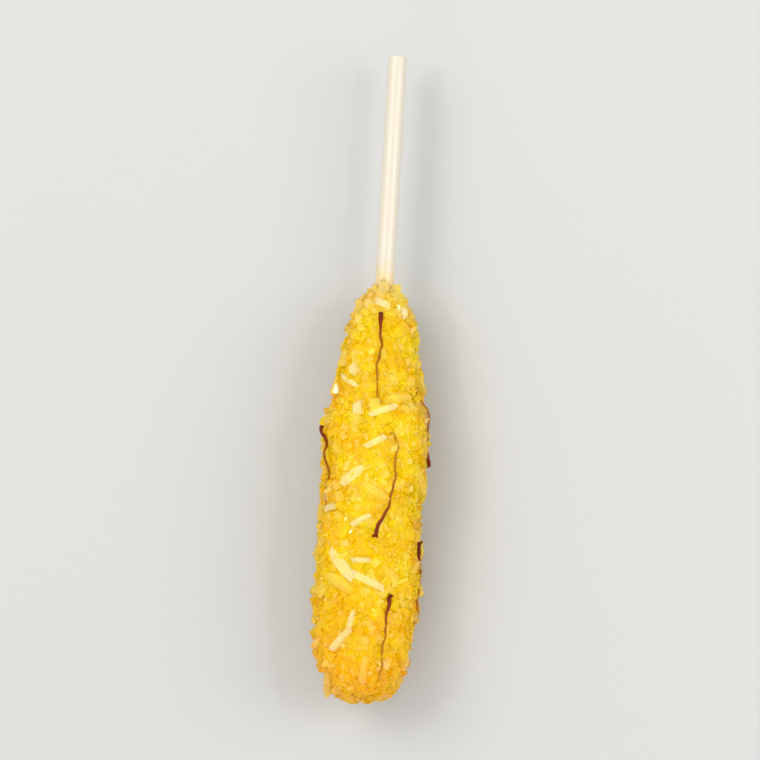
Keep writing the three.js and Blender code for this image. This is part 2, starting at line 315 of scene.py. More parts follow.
# %% Rock sugar
def rock_sugar():
    """Grown from syrup: facets that glint, warm light from inside, lemon and gold side by side, and
    pale blocks among them, partly milky and partly a painted highlight. Towards the lower end a
    painted shade turns it gold. The facets' own steps show as a fine ripple."""
    material, tree, here = new_material("saffron rock sugar")
    ripple = add_node(tree, "ShaderNodeTexNoise", {"Vector": here, "Scale": 1 / RIPPLE_SIZE, "Detail": 3.0})
    bump = add_node(tree, "ShaderNodeBump",
                    {"Height": (ripple, "Fac"), "Strength": 0.25, "Distance": 0.2 * MM})
    syrup = add_node(tree, "ShaderNodeTexNoise", {"Vector": here, "Scale": 1 / CLOUD_SIZE, "Detail": 2.0})
    dyed = add_node(tree, "ShaderNodeMapRange",
                    {"Value": (syrup, "Fac"), "From Min": 0.35, "From Max": 0.65})
    yellow = add_node(tree, "ShaderNodeMix",
                      {"Factor": (dyed, "Result"), 6: linear("#fdec20"), 7: linear("#ffd514")},
                      data_type="RGBA")
    # painted shade: towards the lower end the sugar turns a deeper, warmer gold
    painted_gold_shade = zone_tint(tree, here, (yellow, 2), "#ffbc14", GOLD_SHADE_END, 0.4)
    # pale blocks: partly milky faults and partly a painted highlight, with paler sugar near the neck
    block_milk_and_highlight = add_node(tree, "ShaderNodeAttribute", attribute_name="milk")
    milk = add_node(tree, "ShaderNodeMath",
                    {0: (block_milk_and_highlight, "Fac"), 1: (along_sugar(tree, here, PALE_NECK, 0.35), "Result")},
                    operation="ADD", use_clamp=True)
    tint = add_node(tree, "ShaderNodeMix",
                    {"Factor": (milk, "Value"), 6: (painted_gold_shade, 2), 7: linear("#fff8c8")}, data_type="RGBA")
    rough = add_node(tree, "ShaderNodeMapRange", {"Value": (milk, "Value"), "To Min": 0.06, "To Max": 0.15})
    shader = add_node(tree, "ShaderNodeBsdfPrincipled",
                      {"Base Color": (tint, 2), "Roughness": (rough, "Result"), "IOR": SUGAR_IOR,
                       "Transmission Weight": 0.68, "Normal": (bump, "Normal"),
                       "Coat Weight": 0.45, "Coat IOR": SYRUP_FILM_IOR, "Coat Roughness": 0.05})
    add_node(tree, "ShaderNodeOutputMaterial", {"Surface": (shader, "BSDF")})
    return material


ROCK_SUGAR = rock_sugar()
print("material:", ROCK_SUGAR.name)


# %% Cloudy sugar
def cloudy_sugar():
    """The oldest sugar, grown fast and full of faults: a matt ground that glows lemon through the
    crystals, with the same clouds in it."""
    material, tree, here = new_material("cloudy inner sugar")
    clouds = add_node(tree, "ShaderNodeTexNoise", {"Vector": here, "Scale": 1 / CLOUD_SIZE, "Detail": 4.0})
    tint = add_node(tree, "ShaderNodeValToRGB", {"Fac": (clouds, "Fac")})
    for element, position, colour in zip(tint.color_ramp.elements, (0.35, 0.65), ("#fde00c", "#fcf01a")):
        element.position = position
        element.color = linear(colour)
    # the same painted shade: towards the lower end the heart turns gold
    painted_gold_shade = zone_tint(tree, here, (tint, "Color"), "#ffbc0c", GOLD_SHADE_END, 0.4)
    paler = zone_tint(tree, here, (painted_gold_shade, 2), "#f0d070", PALE_NECK, 0.5)
    shader = add_node(tree, "ShaderNodeBsdfPrincipled",
                      {"Base Color": (paler, 2), "Roughness": 1.0, "Specular IOR Level": 0.0})
    add_node(tree, "ShaderNodeOutputMaterial", {"Surface": (shader, "BSDF")})
    return material


CLOUDY_SUGAR = cloudy_sugar()
print("material:", CLOUDY_SUGAR.name)

# %% [markdown]
# ## The form of the sugar
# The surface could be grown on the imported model's own mesh, but that one already has crystals on
# it. So its form is repeated here from the same few sizes, in millimetres: the radius of the
# grown-together mass along the stick, slow bulges, and a spiral of the larger crystals.

# %% Outline of the mass
CANDY_LENGTH = 98
CORE_OUTLINE = [  # distance from the neck, radius
    (0, 3.7), (3, 5.6), (8, 7.5), (16, 8.9), (26, 9.7), (32, 11.4), (46, 11.7),
    (62, 11.4), (77, 11.3), (88, 10.0), (94.5, 6.8), (96.6, 0),
]
SWELL = [(0.040, 2, 2.3), (0.030, 3, -3.7)]  # share of the radius, waves round, waves along
BAND_COUNT = 400


def smooth_curve(points, share):
    """A point of the curve through the points, at a share of the way."""
    last = len(points) - 1
    first = min(int(share * last), last - 1)
    t = share * last - first
    before, start, end, after = (Vector(points[min(max(first + step, 0), last)]) for step in (-1, 0, 1, 2))
    leave, arrive = (end - before) / 2, (after - start) / 2
    return ((2 * start - 2 * end + leave + arrive) * t ** 3
            + (3 * end - 3 * start - 2 * leave - arrive) * t ** 2 + leave * t + start)


def swell(along, turn):
    """How many times as wide the slow bulges make the mass at a place."""
    phase = 2 * math.pi * along / CANDY_LENGTH
    return 1 + sum(share * math.sin(waves * turn + wave * phase) for share, waves, wave in SWELL)


def place(along, turn, radius):
    """A point, in mm, at a distance from the neck, a turn from the top and a radius."""
    return Vector((radius * math.sin(turn), NECK_Y - along, AXIS_HEIGHT / MM + radius * math.cos(turn)))


def outline_bands(count):
    """Narrow bands of the mass: place along it, radius, slope, and the share of the surface so far."""
    bands, total = [], 0
    for i in range(count):
        start, before, mid, after, end = (
            smooth_curve(CORE_OUTLINE, (i + step) / count) for step in (0, 0.499, 0.5, 0.501, 1))
        slope = (after - before).normalized()
        total += mid.y * (end - start).length
        bands.append([mid.x, mid.y, slope, total])
    for band in bands:
        band[3] /= total
    return bands


BANDS = outline_bands(BAND_COUNT)
print("the mass is", round(2 * max(band[1] for band in BANDS), 1), "mm wide")

# %% [markdown]
# The core is the mass of small crystals that have grown into each other. A sculpted lump or
# metaballs would do. Rings of points round the stick follow the outline exactly and close into one
# skin, and each point is moved in or out a little, so that no smooth bit of it shows between the
# standing crystals. The cloudy heart will be a second such skin, a little further in.

# %% Core
CORE_RINGS = 70
CORE_SIDES = 60
LAST_RING = 0.995   # the share of the outline where the last ring lies
LEAST_RADIUS = 0.4  # mm


def core_mesh(name, shrink, rough, seed):
    """The mass as a closed skin: shrink is how far it lies inside the outline, at its sides and at
    its ends, and rough how far a point strays, in mm."""
    draw = random.Random(seed)
    rings = []
    for i in range(CORE_RINGS):
        along, radius = smooth_curve(CORE_OUTLINE, i / CORE_RINGS * LAST_RING)
        along = shrink + along * (1 - 2 * shrink / CANDY_LENGTH)
        ring = []
        for k in range(CORE_SIDES):
            turn = 2 * math.pi * (k + 0.5 * (i % 2)) / CORE_SIDES
            reach = radius * swell(along, turn) - shrink + rough * (2 * draw.random() - 1)
            ring.append(MM * place(along, turn, max(reach, LEAST_RADIUS)))
        rings.append(ring)
    return ring_mesh(name, rings)


core = plain_object("core", core_mesh("core", shrink=0.3, rough=0.35, seed=5))
print("core:", count_triangles(core.data), "triangles")

# %% [markdown]
# ## Crystals
# Sugar crystals are slanted blocks, 103.5 degrees at the corner, with a roof of two facets at
# each end. Modelling hundreds one by one is needless. A few slightly different blocks, all of unit
# size, are enough: each crystal takes one of them and stretches it to its own length, width and
# thickness. Every facet of a block carries how pale it is, partly milky and partly a painted
# highlight, and keeps that when blocks are joined.

# %% Blocks
UNIT_SKEW = (0.11, 0.08)  # the slant of a block of unit size, by its width and height
BLOCK_SHAPES = [(0.12, 0.12), (0.22, 0.04), (0.30, 0.20), (0.05, 0.02)]  # roof, chamfer
# how pale each set of blocks is; the palest set is partly a painted highlight
MILK_AND_HIGHLIGHT_LEVELS = [0.0, 0.2, 1.0]
CLEAR, CLOUDY, MILKY_HIGHLIGHT = (step * len(BLOCK_SHAPES) for step in range(3))  # the first block of each


def crystal_block(name, roof, chamfer, milk):
    """A block about the origin, long in Y: roof is the length of its slanted ends, and chamfer how
    much its long edges are cut off."""
    bm = bmesh.new()
    for end in (-1, 1):
        for side in (-1, 1):
            for top in (-1, 1):
                bm.verts.new((side * (0.5 - chamfer), end * (0.5 - roof), top * 0.5))
                bm.verts.new((side * 0.5, end * (0.5 - roof), top * (0.5 - chamfer)))
            bm.verts.new((side * (0.5 - chamfer), end * 0.5, 0))
    for vert in bm.verts:
        vert.co.y += UNIT_SKEW[0] * vert.co.x + UNIT_SKEW[1] * vert.co.z
    bmesh.ops.convex_hull(bm, input=bm.verts)
    bmesh.ops.dissolve_limit(bm, angle_limit=0.01, verts=bm.verts, edges=bm.edges)
    bmesh.ops.recalc_face_normals(bm, faces=bm.faces)
    mesh = bpy.data.meshes.new(name)
    bm.to_mesh(mesh)
    bm.free()
    mesh.attributes.new("milk", "FLOAT", "FACE").data.foreach_set("value", [milk] * len(mesh.polygons))
    return bpy.data.objects.new(name, mesh)


blocks = bpy.data.collections.new("crystal blocks")
for number, (milk, shape) in enumerate((m, s) for m in MILK_AND_HIGHLIGHT_LEVELS for s in BLOCK_SHAPES):
    blocks.objects.link(crystal_block(f"block_{number:02d}", *shape, milk))

# %% [markdown]
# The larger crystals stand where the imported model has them. Their places could be read off its
# mesh, but the same small generator of random numbers, drawn from in the same order, gives them
# directly, with their turns and sizes.

# %% Sorts of larger crystals
CRYSTAL_COUNT = 240
CRYSTAL_SORTS = [
    {"every": 10, "length": (6.5, 10), "width": (2.1, 3.1), "stand": (1.3, 2.2), "lean": (4, 26),
     "roof": 0.45},
    {"every": 2, "length": (4.2, 6.4), "width": (2.6, 3.6), "stand": (1.1, 2.2), "lean": (12, 60),
     "roof": 0},
    {"every": 1, "length": (3.0, 4.4), "width": (2.2, 3.1), "stand": (0.8, 1.8), "lean": (15, 85),
     "roof": 0},
]
CRYSTAL_FLATNESS = (0.6, 0.95)  # thickness as a share of the width
CRYSTAL_SKEW = math.tan(math.radians(13.5))
SMALLEST_SIZE = 0.6             # share of the full size, where the mass is thinnest
FULL_SIZE_RADIUS = 9            # mm of mass that carry crystals of full size
PLACE_JITTER = 0.12             # radians round the stick
GOLDEN_ANGLE = math.pi * (3 - math.sqrt(5))
CRYSTAL_SEED = 20
print(CRYSTAL_COUNT, "crystals of", len(CRYSTAL_SORTS), "sorts")

# %% A repeatable stream of numbers
WORD = 0xFFFFFFFF  # the largest number of 32 bits


def draws(seed):
    """A repeatable stream of numbers from 0 to 1 (the mulberry32 generator)."""
    state = seed
    while True:
        state = (state + 0x6D2B79F5) & WORD
        t = (state ^ (state >> 15)) * (state | 1) & WORD
        t ^= (t + ((t ^ (t >> 7)) * (t | 61) & WORD)) & WORD
        yield ((t ^ (t >> 14)) & WORD) / (WORD + 1)


print("the first draws:", [round(number, 3) for _, number in zip(range(3), draws(CRYSTAL_SEED))])


# %% Places of the larger crystals
def block_corners(length, width, thickness, roof):
    """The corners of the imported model's block of this size."""
    corners = []
    for end in (-1, 1):
        for side in (-width / 2, width / 2):
            for top in (thickness / 2, -thickness / 2):
                corners.append(Vector((side, end * (length / 2 - roof), top)))
            if roof > 0:
                corners.append(Vector((side, end * length / 2, 0)))
    for corner in corners:
        corner.y += CRYSTAL_SKEW * (corner.x + corner.z)
    return corners


def larger_crystals():
    """For each crystal: its place, its turn, and its width, length and thickness, in mm."""
    stream = draws(CRYSTAL_SEED)

    def between(limits):
        return limits[0] + (limits[1] - limits[0]) * next(stream)

    crystals = []
    for i in range(CRYSTAL_COUNT):
        sort = next(s for s in CRYSTAL_SORTS if i % s["every"] == 0)
        along, core_radius, slope, _ = next(b for b in BANDS if (i + 0.5) / CRYSTAL_COUNT <= b[3])
        turn = i * GOLDEN_ANGLE + PLACE_JITTER * (2 * next(stream) - 1)
        size = SMALLEST_SIZE + (1 - SMALLEST_SIZE) * min(1, core_radius / FULL_SIZE_RADIUS)
        length = size * between(sort["length"])
        width = size * between(sort["width"])
        thickness = width * between(CRYSTAL_FLATNESS)
        stand = size * between(sort["stand"])
        lean = math.radians(between(sort["lean"]))
        heading = 2 * math.pi * next(stream)
        roll = math.pi * next(stream)

        radial = Vector((math.sin(turn), 0, math.cos(turn)))
        out = (radial * slope.x + Vector((0, slope.y, 0))).normalized()
        around = Vector((math.cos(turn), 0, -math.sin(turn)))
        down = out.cross(around)
        flat = around * math.cos(heading) + down * math.sin(heading)
        axis = (flat * math.cos(lean) + out * math.sin(lean)).normalized()
        rotation = Vector((0, 1, 0)).rotation_difference(axis) @ Quaternion((0, 1, 0), roll)
        corners = block_corners(length, width, thickness, sort["roof"] * width)
        reach = max(out.dot(rotation @ corner) for corner in corners)
        spot = place(along, turn, core_radius * swell(along, turn)) + out * (stand - reach)
        crystals.append((spot, rotation, Vector((width, length, thickness))))
    return crystals


LARGER = larger_crystals()
print(len(LARGER), "larger crystals, the longest", round(max(c[2].y for c in LARGER), 1), "mm")

# %% [markdown]
# Splinters that broke off other crystals lie stuck on the upper side: long, narrow, and pale, partly
# white with faults and partly a painted highlight. Chance would put them anywhere, so each is given
# by its two ends and its width.

# %% Shards
SHARDS = [  # distance from the neck and degrees from the top, of one end and of the other; width
    (3.1, -10, 4.4, 21, 1.6), (4.2, 46, 7.1, 48, 1.4), (18.1, -30, 20.6, -22, 1.7),
    (20.9, -53, 23.4, -19, 1.2), (26.9, -18, 30.3, -13, 2.0), (30.1, 0, 27.3, 34, 1.7),
    (37.5, -2, 34.7, 20, 1.4), (46.5, -27, 42.1, -3, 2.2), (52.6, -54, 51.4, -35, 1.4),
    (55.7, -12, 53.0, 8, 1.5), (63.7, -10, 63.4, 12, 1.2), (61.5, -35, 68.1, -7, 2.6),
    (66.3, -12, 69.8, 29, 1.6), (75.3, -5, 80.3, -10, 1.3), (79.5, -8, 84.8, -33, 1.5),
]
SHARD_STAND = 1.7      # height of a shard's upper face above the mass
SHARD_THICKNESS = 2.0  # so that it reaches down into the mass


def shard_crystal(shard):
    """The place, turn and sizes of a shard, as for the larger crystals."""
    start_along, start_degrees, end_along, end_degrees, width = shard
    ends = []
    for along, turn in ((start_along, math.radians(start_degrees)), (end_along, math.radians(end_degrees))):
        mass = next(band[1] for band in BANDS if along <= band[0]) * swell(along, turn)
        ends.append(place(along, turn, mass + SHARD_STAND - SHARD_THICKNESS / 2))
    spot = (ends[0] + ends[1]) / 2
    axis = (ends[1] - ends[0]).normalized()
    out = Vector((spot.x, 0, spot.z - AXIS_HEIGHT / MM))
    out = (out - axis * out.dot(axis)).normalized()
    turned = Matrix((axis.cross(out), axis, out)).transposed().to_quaternion()
    return spot, turned, Vector((width, (ends[1] - ends[0]).length, SHARD_THICKNESS))


LAID = [shard_crystal(shard) for shard in SHARDS]
print(len(LAID), "shards")

# %% [markdown]
# Past the neck the syrup wetted the handle for a millimetre or two, and single small crystals took
# hold there. They sit half sunk in the film that they grew from, and take any turn.

# %% Strays
STRAYS = 12
STRAY_START = 0.5                     # mm inside the sugar
STRAY_REACH = 2.4                     # mm from there along the handle
STRAY_LENGTHS = (0.8, 1.7)            # mm
STRAY_SHAPE = Vector((0.75, 1, 0.6))  # width, length and thickness, as shares of the length
STRAY_LIFT = 0.15                     # share of its length that its middle stands off the handle
STRAY_SEED = 11


def stray_crystals():
    """The place, turn and sizes of the small crystals on the handle, as for the larger crystals."""
    draw = random.Random(STRAY_SEED)
    strays = []
    for _ in range(STRAYS):
        length = draw.uniform(*STRAY_LENGTHS)
        along = STRAY_START - STRAY_REACH * draw.random() ** 2
        spot = place(along, draw.uniform(0, 2 * math.pi), STICK_RADIUS / MM + STRAY_LIFT * length)
        turned = Quaternion([draw.gauss(0, 1) for _ in range(4)]).normalized()
        strays.append((spot, turned, length * STRAY_SHAPE))
    return strays


STRAY = stray_crystals()
print(len(STRAY), "strays")

# %% [markdown]
# ## Growing the surface
# Blender's particle systems could scatter the blocks, but Geometry Nodes keep the whole recipe in
# one tree with named sizes. It puts the placed crystals on their points and scatters the fine ones
# over the core at an even spacing, each leaning its own way. Most are small, and few are large,
# because early crystals crowd out late ones.


# %% Trees and their results
def new_tree(name, source, inputs):
    """An empty tree with a geometry input named source and further inputs, each a name, a type and
    a default value or None, and its input node."""
    tree = bpy.data.node_groups.new(name, "GeometryNodeTree")
    tree.interface.new_socket("Geometry", in_out="OUTPUT", socket_type="NodeSocketGeometry")
    tree.interface.new_socket(source, in_out="INPUT", socket_type="NodeSocketGeometry")
    for label, kind, value in inputs:
        socket = tree.interface.new_socket(label, in_out="INPUT", socket_type="NodeSocket" + kind)
        if value is not None:
            socket.default_value = value
    return tree, add_node(tree, "NodeGroupInput")


def end_tree(tree, geometry, material):
    """The last nodes of a tree: they make its instances real and give it its material."""
    real = add_node(tree, "GeometryNodeRealizeInstances", {"Geometry": geometry})
    made = add_node(tree, "GeometryNodeSetMaterial", {"Geometry": (real, "Geometry"), "Material": material})
    add_node(tree, "NodeGroupOutput", {"Geometry": (made, "Geometry")})
    return tree


def grown(name, base, tree, values):
    """The mesh that the tree makes of the base object, as a plain object."""
    modifier = base.modifiers.new("tree", "NODES")
    modifier.node_group = tree
    for item in tree.interface.items_tree:
        if item.in_out == "INPUT" and item.name in values:
            modifier[item.identifier] = values[item.name]
    bpy.context.view_layer.update()
    depsgraph = bpy.context.evaluated_depsgraph_get()
    mesh = bpy.data.meshes.new_from_object(base.evaluated_get(depsgraph), depsgraph=depsgraph)
    mesh.name = name
    base.modifiers.remove(modifier)
    bpy.data.objects.remove(base)
    return plain_object(name, mesh)


# %% Fine crystals
FINE_CHANCES = [  # what chance settles for each fine crystal, from the least to the most
    ("lean", "FLOAT", math.radians(15), math.radians(100)), ("heading", "FLOAT", 0.0, 2 * math.pi),
    ("roll", "FLOAT", 0.0, 2 * math.pi), ("luck", "FLOAT", 0.0, 1.0),
    ("width", "FLOAT", 0.5, 0.85), ("thickness", "FLOAT", 0.4, 0.8),
    ("block", "INT", CLEAR, CLOUDY + 1),    # any clear block, or one of two cloudy ones
]
SEED_STEP = 100  # between the seeds of two of these chances
RANDOM_SOCKETS = {"FLOAT": (2, 3, 1), "INT": (4, 5, 2)}  # the least, the most and the result
FEW_LARGE = 2.5  # the higher the power, the fewer are large
DENSEST = 3.0e6  # points a square metre, more than the spacing lets stand


def fine_crystals(tree, given, blocks_info):
    """The nodes that scatter blocks over the core; the last of them."""
    chance = {}
    for number, (what, kind, least, most) in enumerate(FINE_CHANCES, 1):
        least_socket, most_socket, result = RANDOM_SOCKETS[kind]
        own_seed = add_node(tree, "FunctionNodeIntegerMath", {0: (given, "Seed"), 1: SEED_STEP * number},
                            operation="ADD")
        drawn = add_node(tree, "FunctionNodeRandomValue",
                         {least_socket: least, most_socket: most, "Seed": (own_seed, "Value")},
                         data_type=kind)
        chance[what] = (drawn, result)

    scatter = add_node(tree, "GeometryNodeDistributePointsOnFaces",
                       {"Mesh": (given, "Core"), "Distance Min": (given, "Spacing"),
                        "Density Max": DENSEST, "Seed": (given, "Seed")}, distribute_method="POISSON")
    swing = add_node(tree, "ShaderNodeCombineXYZ", {"X": chance["lean"], "Z": chance["heading"]})
    roll = add_node(tree, "ShaderNodeCombineXYZ", {"Y": chance["roll"]})
    turned = (scatter, "Rotation")
    for angles in (swing, roll):
        turn = add_node(tree, "FunctionNodeEulerToRotation", {"Euler": (angles, "Vector")})
        step = add_node(tree, "FunctionNodeRotateRotation",
                        {"Rotation": turned, "Rotate By": (turn, "Rotation")}, rotation_space="LOCAL")
        turned = (step, "Rotation")
    luck = add_node(tree, "ShaderNodeMath", {0: chance["luck"], 1: FEW_LARGE}, operation="POWER")
    length = add_node(tree, "ShaderNodeMapRange",
                      {"Value": (luck, "Value"), "To Min": (given, "Shortest"),
                       "To Max": (given, "Longest")})
    shape = add_node(tree, "ShaderNodeCombineXYZ",
                     {"X": chance["width"], "Y": 1.0, "Z": chance["thickness"]})
    size = add_node(tree, "ShaderNodeVectorMath", {0: (shape, "Vector"), "Scale": (length, "Result")},
                    operation="SCALE")
    return add_node(tree, "GeometryNodeInstanceOnPoints",
                    {"Points": (scatter, "Points"), "Instance": (blocks_info, "Instances"),
                     "Pick Instance": True, "Instance Index": chance["block"],
                     "Rotation": turned, "Scale": (size, "Vector")})


print(len(FINE_CHANCES), "things are left to chance for each fine crystal")

# %% [markdown]
# The blocks could stay apart and just overlap, but then clear sugar would have walls inside, where
# light bends that it shouldn't. So a union joins every block and the core into one closed skin, as
# sugar grows together, and a slab takes off what would lie below the table. Points closer than the
# eye can tell become one. Where blocks close off a tiny pore, its wall is a skin of its own inside
# the sugar: parts of less than a square millimetre are dropped.


# %% One skin
SLAB = (0.4, 0.4, 0.1)  # in metres, wider than the sugar


def one_skin(tree, given, union):
    """The nodes that cut the joined sugar off at the table and clean its skin; the last of them."""
    slab = add_node(tree, "GeometryNodeMeshCube", {"Size": SLAB})
    below = add_node(tree, "GeometryNodeTransform",
                     {"Geometry": (slab, "Mesh"), "Translation": (0, 0, -SLAB[2] / 2)})
    cut = add_node(tree, "GeometryNodeMeshBoolean",
                   {"Mesh 1": (union, "Mesh"), "Mesh 2": (below, "Geometry")},
                   operation="DIFFERENCE", solver="MANIFOLD")
    merged = add_node(tree, "GeometryNodeMergeByDistance",
                      {"Geometry": (cut, "Mesh"), "Distance": (given, "Merging")})
    part = add_node(tree, "GeometryNodeInputMeshIsland")
    facet = add_node(tree, "GeometryNodeInputMeshFaceArea")
    skin = add_node(tree, "GeometryNodeAccumulateField",
                    {"Value": (facet, "Area"), "Group ID": (part, "Island Index")},
                    data_type="FLOAT", domain="FACE")
    pore = add_node(tree, "FunctionNodeCompare", {"A": (skin, "Total"), "B": (given, "Smallest part")},
                    operation="LESS_THAN")
    whole = add_node(tree, "GeometryNodeDeleteGeometry",
                     {"Geometry": (merged, "Geometry"), "Selection": (pore, "Result")}, domain="FACE")
    return add_node(tree, "GeometryNodeSetShadeSmooth",
                    {"Geometry": (whole, "Geometry"), "Shade Smooth": False})


print("all sugar down to", SLAB[2], "m below the table is cut off")


# %% Tree of the sugar
def sugar_tree():
    """The tree that grows the sugar's skin from the core."""
    tree, given = new_tree("grown sugar", "Core", [
        ("Larger crystals", "Object", None), ("Blocks", "Collection", None),
        ("Spacing", "Float", 1.4 * MM), ("Shortest", "Float", 1.15 * MM), ("Longest", "Float", 3.3 * MM),
        ("Merging", "Float", 0.003 * MM), ("Smallest part", "Float", MM ** 2),
        ("Seed", "Int", 12), ("Sugar", "Material", None),
    ])
    blocks_info = add_node(tree, "GeometryNodeCollectionInfo",
                           {"Collection": (given, "Blocks"), "Separate Children": True,
                            "Reset Children": True})
    fine = fine_crystals(tree, given, blocks_info)
    points_info = add_node(tree, "GeometryNodeObjectInfo", {"Object": (given, "Larger crystals")})
    turn, size, kind = (
        add_node(tree, "GeometryNodeInputNamedAttribute", {"Name": name}, data_type=data_type)
        for name, data_type in (("turn", "QUATERNION"), ("size", "FLOAT_VECTOR"), ("kind", "INT")))
    larger = add_node(tree, "GeometryNodeInstanceOnPoints",
                      {"Points": (points_info, "Geometry"), "Instance": (blocks_info, "Instances"),
                       "Pick Instance": True, "Instance Index": (kind, "Attribute"),
                       "Rotation": (turn, "Attribute"), "Scale": (size, "Attribute")})
    union = add_node(tree, "GeometryNodeMeshBoolean", operation="UNION", solver="MANIFOLD")
    for node, output in ((given, "Core"), (larger, "Instances"), (fine, "Instances")):
        tree.links.new(node.outputs[output], union.inputs["Mesh 2"])
    flat = one_skin(tree, given, union)
    return end_tree(tree, (flat, "Geometry"), (given, "Sugar"))


SUGAR_TREE = sugar_tree()
print("nodes of the sugar's tree:", len(SUGAR_TREE.nodes))


# %% Grown sugar
def placed_block(i):
    """The block that the i-th placed crystal takes: a shard is pale, partly milky and partly a painted
    highlight, and has a long roof, and one crystal in five is cloudy."""
    if len(LARGER) <= i < len(LARGER + LAID):
        return MILKY_HIGHLIGHT + 1 + i % 2
    return (CLOUDY if i % 5 == 0 else CLEAR) + i % len(BLOCK_SHAPES)


def point_object(name, crystals):
    """A point for each crystal, which carries the crystal's turn, sizes and block."""
    mesh = bpy.data.meshes.new(name)
    mesh.from_pydata([MM * spot for spot, _, _ in crystals], [], [])
    for attribute, kind, field, values in [
        ("turn", "QUATERNION", "value", [rotation for _, rotation, _ in crystals]),
        ("size", "FLOAT_VECTOR", "vector", [MM * sizes for _, _, sizes in crystals]),
        ("kind", "INT", "value", [placed_block(i) for i in range(len(crystals))]),
    ]:
        data = mesh.attributes.new(attribute, kind, "POINT").data
        for item, value in zip(data, values):
            setattr(item, field, value)
    return plain_object(name, mesh)


for grown_from in (core, *blocks.objects):
    grown_from.data.materials.append(ROCK_SUGAR)
points = point_object("placed_crystals", LARGER + LAID + STRAY)
crystals = grown("sugar_crystals", core, SUGAR_TREE,
                 {"Larger crystals": points, "Blocks": blocks, "Sugar": ROCK_SUGAR})
bpy.data.objects.remove(points)
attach(crystals, "root")
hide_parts("candy")
print("sugar:", len(crystals.data.polygons), "facets,", count_triangles(crystals.data), "triangles")

# %% [markdown]
# ## Cloudy heart
# The oldest sugar, next to the stick, has so many small faults that light can't pass through it.
# A scattering volume could show that, but takes minutes to render and is lost in an export. A rough
# matt skin of its own, just under the crystals, throws the light back as the real heart does, and
# gives the whole its bright yellow.

# %% Heart
heart_mesh = core_mesh("sugar_heart", shrink=1.2, rough=0.4, seed=6)
heart_mesh.materials.append(CLOUDY_SUGAR)
heart = plain_object("sugar_heart", heart_mesh)
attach(heart, "root")
print("heart:", count_triangles(heart.data), "triangles")

# %% [markdown]
# ## Stick
# A moulded polypropylene rod with slightly rounded ends, ivory white and satin. A cylinder with a
# bevel would come close. Its outline, turned about its axis, gives the ends their exact rounding.
# Where it enters the sugar, a painted yellow glow stands for the light that the sugar throws on it.

# %% Ivory plastic
FLOW_WIDTH, FLOW_LENGTH = 0.5 * MM, 9 * MM  # much finer on a real rod, drawn so wide to show
BLOTCH_SIZE = 2.5 * MM
PAINTED_GLOW_SPILL = 8                             # mm that the blotches carry the painted glow's edge along the rod
PAINTED_GLOW_EDGE = (5, 11)                        # mm past the neck, between which the painted glow fades


def ivory_plastic():
    """Moulded polypropylene: a soft satin shine along the rod, faint lengthwise flow lines, edges
    that light shines into, and a painted yellow glow at the neck for the light thrown by the sugar."""
    material, tree, here = new_material("ivory polypropylene")
    flow = add_node(tree, "ShaderNodeMapping",
                    {"Vector": here, "Scale": (1 / FLOW_WIDTH, 1 / FLOW_LENGTH, 1 / FLOW_WIDTH)})
    streak = add_node(tree, "ShaderNodeTexNoise", {"Vector": (flow, "Vector"), "Scale": 1.0, "Detail": 3.0})
    bump = add_node(tree, "ShaderNodeBump",
                    {"Height": (streak, "Fac"), "Strength": 0.12, "Distance": 0.05 * MM})
    parts = add_node(tree, "ShaderNodeSeparateXYZ", {"Vector": here})
    blotch = add_node(tree, "ShaderNodeTexNoise", {"Vector": here, "Scale": 1 / BLOTCH_SIZE, "Detail": 4.0})
    spill = add_node(tree, "ShaderNodeMath", {0: (blotch, "Fac"), 1: PAINTED_GLOW_SPILL * MM, 2: (parts, "Y")},
                     operation="MULTIPLY_ADD")
    # painted light: the yellow glow that the sugar throws on the rod near the neck
    painted_glow = add_node(tree, "ShaderNodeMapRange",
                     {"Value": (spill, "Value"), "From Min": (NECK_Y + PAINTED_GLOW_EDGE[0]) * MM,
                      "From Max": (NECK_Y + PAINTED_GLOW_EDGE[1]) * MM, "To Min": 0.75, "To Max": 0.0})
    tint = add_node(tree, "ShaderNodeMix",
                    {"Factor": (painted_glow, "Result"), 6: linear("#d2cab8"), 7: linear("#e0c070")},
                    data_type="RGBA")
    gloss = add_node(tree, "ShaderNodeMapRange",
                     {"Value": (streak, "Fac"), "From Min": 0.3, "From Max": 0.7,
                      "To Min": 0.28, "To Max": 0.4})
    shader = add_node(tree, "ShaderNodeBsdfPrincipled",
                      {"Base Color": (tint, 2), "Roughness": (gloss, "Result"), "IOR": 1.49,
                       "Normal": (bump, "Normal"), "Subsurface Weight": 0.3,
                       "Subsurface Radius": (1.0, 0.9, 0.7), "Subsurface Scale": 0.8 * MM})
    add_node(tree, "ShaderNodeOutputMaterial", {"Surface": (shader, "BSDF")})
    return material


IVORY_PLASTIC = ivory_plastic()
print("material:", IVORY_PLASTIC.name)

# %% Stick
STICK_SIDES = 72
STICK_STEPS = 40
END_ROUND = 0.35 * MM
END_STEPS = 6


def stick_mesh():
    """The rod's outline turned about its axis."""
    turns = [math.pi / 2 * i / END_STEPS for i in range(END_STEPS + 1)]
    end = [(STICK_RADIUS - END_ROUND * (1 - math.sin(t)), END_ROUND * (1 - math.cos(t))) for t in turns]
    length = stick_high.y - stick_low.y
    steps = [(STICK_RADIUS, length * i / STICK_STEPS) for i in range(1, STICK_STEPS)]
    profile = end + steps + [(radius, length - inset) for radius, inset in reversed(end)]
    turns = [2 * math.pi * k / STICK_SIDES for k in range(STICK_SIDES)]
    return ring_mesh("candy_stick", [
        [(radius * math.sin(t), stick_low.y + y, AXIS_HEIGHT + radius * math.cos(t)) for t in turns]
        for radius, y in profile], smooth=True)


